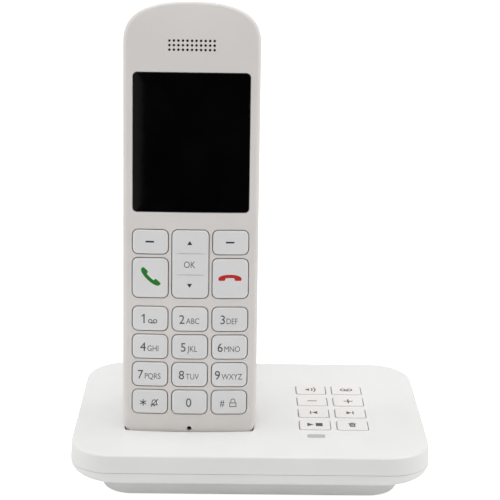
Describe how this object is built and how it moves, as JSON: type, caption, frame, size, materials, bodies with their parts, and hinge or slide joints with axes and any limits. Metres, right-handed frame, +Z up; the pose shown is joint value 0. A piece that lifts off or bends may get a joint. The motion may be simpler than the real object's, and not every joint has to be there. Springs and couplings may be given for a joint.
{
  "type": "cordless phone with base",
  "caption": "Cordless telephone handset with display and keypad, standing in the cradle of a low charging base that has answering-machine keys.",
  "frame": {"origin": "on the resting plane under the middle of the base", "axes": "+X to the user's right, +Y towards the back of the base, +Z up"},
  "size_m": [0.133, 0.087, 0.1765],
  "materials": {
    "base_casing": "fine satin moulded plastic, white",
    "handset_casing": "satin moulded plastic, warm light grey",
    "key_plastic": "satin moulded plastic, light grey with printed legends",
    "message_key_plastic": "fine satin moulded plastic, off white with printed legends",
    "display_glass": "clear gloss over a dark unlit display",
    "black_plastic": "matt moulded plastic",
    "circuit_board": "solder mask, satin",
    "silicone": "matt",
    "plated_steel": "plated, bright",
    "cell_sleeve": "printed sleeve over steel, satin",
    "light_pipe": "unlit translucent plastic, satin",
    "foot_rubber": "matt"
  },
  "bodies": {
    "base": {"base_top_shell": "base_casing", "base_bottom_shell": "base_casing", "base_circuit_board": "circuit_board", "message_key_mat": "silicone", "indicator_light_pipe": "light_pipe", "base_speaker": "black_plastic", "line_socket": "black_plastic", "power_socket": "black_plastic", "foot_front_left": "foot_rubber", "foot_front_right": "foot_rubber", "foot_rear_left": "foot_rubber", "foot_rear_right": "foot_rubber", "base_screw_front": "plated_steel", "base_screw_rear": "plated_steel"},
    "handset": {"handset_front_shell": "handset_casing", "handset_rear_shell": "handset_casing", "display_window": "display_glass", "display_module": "black_plastic", "keypad_membrane": "silicone", "handset_circuit_board": "circuit_board", "earpiece_speaker": "black_plastic", "microphone": "black_plastic", "ringer_speaker": "black_plastic", "battery_left": "cell_sleeve", "battery_right": "cell_sleeve", "battery_contact_bridge": "plated_steel", "battery_contact_left": "plated_steel", "battery_contact_right": "plated_steel", "charge_pad_left": "plated_steel", "charge_pad_right": "plated_steel"},
    "battery_cover": {"battery_cover": "handset_casing"},
    "nav_plunger": {"nav_plunger": "black_plastic"},
    "nav_key": {"nav_key": "key_plastic"},
    "soft_key_left": {"soft_key_left": "key_plastic"},
    "soft_key_right": {"soft_key_right": "key_plastic"},
    "call_key": {"call_key": "key_plastic"},
    "end_key": {"end_key": "key_plastic"},
    "key_1": {"key_1": "key_plastic"},
    "key_2": {"key_2": "key_plastic"},
    "key_3": {"key_3": "key_plastic"},
    "key_4": {"key_4": "key_plastic"},
    "key_5": {"key_5": "key_plastic"},
    "key_6": {"key_6": "key_plastic"},
    "key_7": {"key_7": "key_plastic"},
    "key_8": {"key_8": "key_plastic"},
    "key_9": {"key_9": "key_plastic"},
    "key_star": {"key_star": "key_plastic"},
    "key_0": {"key_0": "key_plastic"},
    "key_hash": {"key_hash": "key_plastic"},
    "message_key_loudspeaker": {"message_key_loudspeaker": "message_key_plastic"},
    "message_key_machine": {"message_key_machine": "message_key_plastic"},
    "message_key_quieter": {"message_key_quieter": "message_key_plastic"},
    "message_key_louder": {"message_key_louder": "message_key_plastic"},
    "message_key_back": {"message_key_back": "message_key_plastic"},
    "message_key_forward": {"message_key_forward": "message_key_plastic"},
    "message_key_play": {"message_key_play": "message_key_plastic"},
    "message_key_delete": {"message_key_delete": "message_key_plastic"},
    "charge_pin_left": {"charge_pin_left": "plated_steel"},
    "charge_pin_right": {"charge_pin_right": "plated_steel"}
  },
  "joints": [
    {"name": "handset_lift", "type": "slide", "parent": "base", "child": "handset", "axis": [0, 0.1374, 0.9905], "range_m": [0, 0.05]},
    {"name": "battery_cover_lift", "type": "slide", "parent": "handset", "child": "battery_cover", "axis": [0, 0.9905, -0.1374], "range_m": [0, 0.012]},
    {"name": "nav_press", "type": "slide", "parent": "handset", "child": "nav_plunger", "axis": [0, 0.9905, -0.1374], "range_m": [0, 0.0005], "stiffness_N_per_m": 800, "springref_m": -0.0002},
    {"name": "nav_rock", "type": "hinge", "parent": "nav_plunger", "child": "nav_key", "pos_m": [-0.0229, -0.00877, 0.08188], "axis": [1, 0, 0], "range_deg": [-1.5, 1.5], "stiffness_Nm_per_rad": 0.2},
    {"name": "soft_key_left_press", "type": "slide", "parent": "handset", "child": "soft_key_left", "axis": [0, 0.9905, -0.1374], "range_m": [0, 0.0005], "stiffness_N_per_m": 800, "springref_m": -0.0002},
    {"name": "soft_key_right_press", "type": "slide", "parent": "handset", "child": "soft_key_right", "axis": [0, 0.9905, -0.1374], "range_m": [0, 0.0005], "stiffness_N_per_m": 800, "springref_m": -0.0002},
    {"name": "call_key_press", "type": "slide", "parent": "handset", "child": "call_key", "axis": [0, 0.9905, -0.1374], "range_m": [0, 0.0005], "stiffness_N_per_m": 800, "springref_m": -0.0002},
    {"name": "end_key_press", "type": "slide", "parent": "handset", "child": "end_key", "axis": [0, 0.9905, -0.1374], "range_m": [0, 0.0005], "stiffness_N_per_m": 800, "springref_m": -0.0002},
    {"name": "key_1_press", "type": "slide", "parent": "handset", "child": "key_1", "axis": [0, 0.9905, -0.1374], "range_m": [0, 0.0005], "stiffness_N_per_m": 800, "springref_m": -0.0002},
    {"name": "key_2_press", "type": "slide", "parent": "handset", "child": "key_2", "axis": [0, 0.9905, -0.1374], "range_m": [0, 0.0005], "stiffness_N_per_m": 800, "springref_m": -0.0002},
    {"name": "key_3_press", "type": "slide", "parent": "handset", "child": "key_3", "axis": [0, 0.9905, -0.1374], "range_m": [0, 0.0005], "stiffness_N_per_m": 800, "springref_m": -0.0002},
    {"name": "key_4_press", "type": "slide", "parent": "handset", "child": "key_4", "axis": [0, 0.9905, -0.1374], "range_m": [0, 0.0005], "stiffness_N_per_m": 800, "springref_m": -0.0002},
    {"name": "key_5_press", "type": "slide", "parent": "handset", "child": "key_5", "axis": [0, 0.9905, -0.1374], "range_m": [0, 0.0005], "stiffness_N_per_m": 800, "springref_m": -0.0002},
    {"name": "key_6_press", "type": "slide", "parent": "handset", "child": "key_6", "axis": [0, 0.9905, -0.1374], "range_m": [0, 0.0005], "stiffness_N_per_m": 800, "springref_m": -0.0002},
    {"name": "key_7_press", "type": "slide", "parent": "handset", "child": "key_7", "axis": [0, 0.9905, -0.1374], "range_m": [0, 0.0005], "stiffness_N_per_m": 800, "springref_m": -0.0002},
    {"name": "key_8_press", "type": "slide", "parent": "handset", "child": "key_8", "axis": [0, 0.9905, -0.1374], "range_m": [0, 0.0005], "stiffness_N_per_m": 800, "springref_m": -0.0002},
    {"name": "key_9_press", "type": "slide", "parent": "handset", "child": "key_9", "axis": [0, 0.9905, -0.1374], "range_m": [0, 0.0005], "stiffness_N_per_m": 800, "springref_m": -0.0002},
    {"name": "key_star_press", "type": "slide", "parent": "handset", "child": "key_star", "axis": [0, 0.9905, -0.1374], "range_m": [0, 0.0005], "stiffness_N_per_m": 800, "springref_m": -0.0002},
    {"name": "key_0_press", "type": "slide", "parent": "handset", "child": "key_0", "axis": [0, 0.9905, -0.1374], "range_m": [0, 0.0005], "stiffness_N_per_m": 800, "springref_m": -0.0002},
    {"name": "key_hash_press", "type": "slide", "parent": "handset", "child": "key_hash", "axis": [0, 0.9905, -0.1374], "range_m": [0, 0.0005], "stiffness_N_per_m": 800, "springref_m": -0.0002},
    {"name": "message_key_loudspeaker_press", "type": "slide", "parent": "base", "child": "message_key_loudspeaker", "axis": [0, 0.0436, -0.999], "range_m": [0, 0.0005], "stiffness_N_per_m": 800, "springref_m": -0.0002},
    {"name": "message_key_machine_press", "type": "slide", "parent": "base", "child": "message_key_machine", "axis": [0, 0.0436, -0.999], "range_m": [0, 0.0005], "stiffness_N_per_m": 800, "springref_m": -0.0002},
    {"name": "message_key_quieter_press", "type": "slide", "parent": "base", "child": "message_key_quieter", "axis": [0, 0.0436, -0.999], "range_m": [0, 0.0005], "stiffness_N_per_m": 800, "springref_m": -0.0002},
    {"name": "message_key_louder_press", "type": "slide", "parent": "base", "child": "message_key_louder", "axis": [0, 0.0436, -0.999], "range_m": [0, 0.0005], "stiffness_N_per_m": 800, "springref_m": -0.0002},
    {"name": "message_key_back_press", "type": "slide", "parent": "base", "child": "message_key_back", "axis": [0, 0.0436, -0.999], "range_m": [0, 0.0005], "stiffness_N_per_m": 800, "springref_m": -0.0002},
    {"name": "message_key_forward_press", "type": "slide", "parent": "base", "child": "message_key_forward", "axis": [0, 0.0436, -0.999], "range_m": [0, 0.0005], "stiffness_N_per_m": 800, "springref_m": -0.0002},
    {"name": "message_key_play_press", "type": "slide", "parent": "base", "child": "message_key_play", "axis": [0, 0.0436, -0.999], "range_m": [0, 0.0005], "stiffness_N_per_m": 800, "springref_m": -0.0002},
    {"name": "message_key_delete_press", "type": "slide", "parent": "base", "child": "message_key_delete", "axis": [0, 0.0436, -0.999], "range_m": [0, 0.0005], "stiffness_N_per_m": 800, "springref_m": -0.0002},
    {"name": "charge_pin_left_dip", "type": "slide", "parent": "base", "child": "charge_pin_left", "axis": [0, -0.1374, -0.9905], "range_m": [0, 0.0008], "stiffness_N_per_m": 200, "springref_m": -0.0005},
    {"name": "charge_pin_right_dip", "type": "slide", "parent": "base", "child": "charge_pin_right", "axis": [0, -0.1374, -0.9905], "range_m": [0, 0.0008], "stiffness_N_per_m": 200, "springref_m": -0.0005}
  ]
}
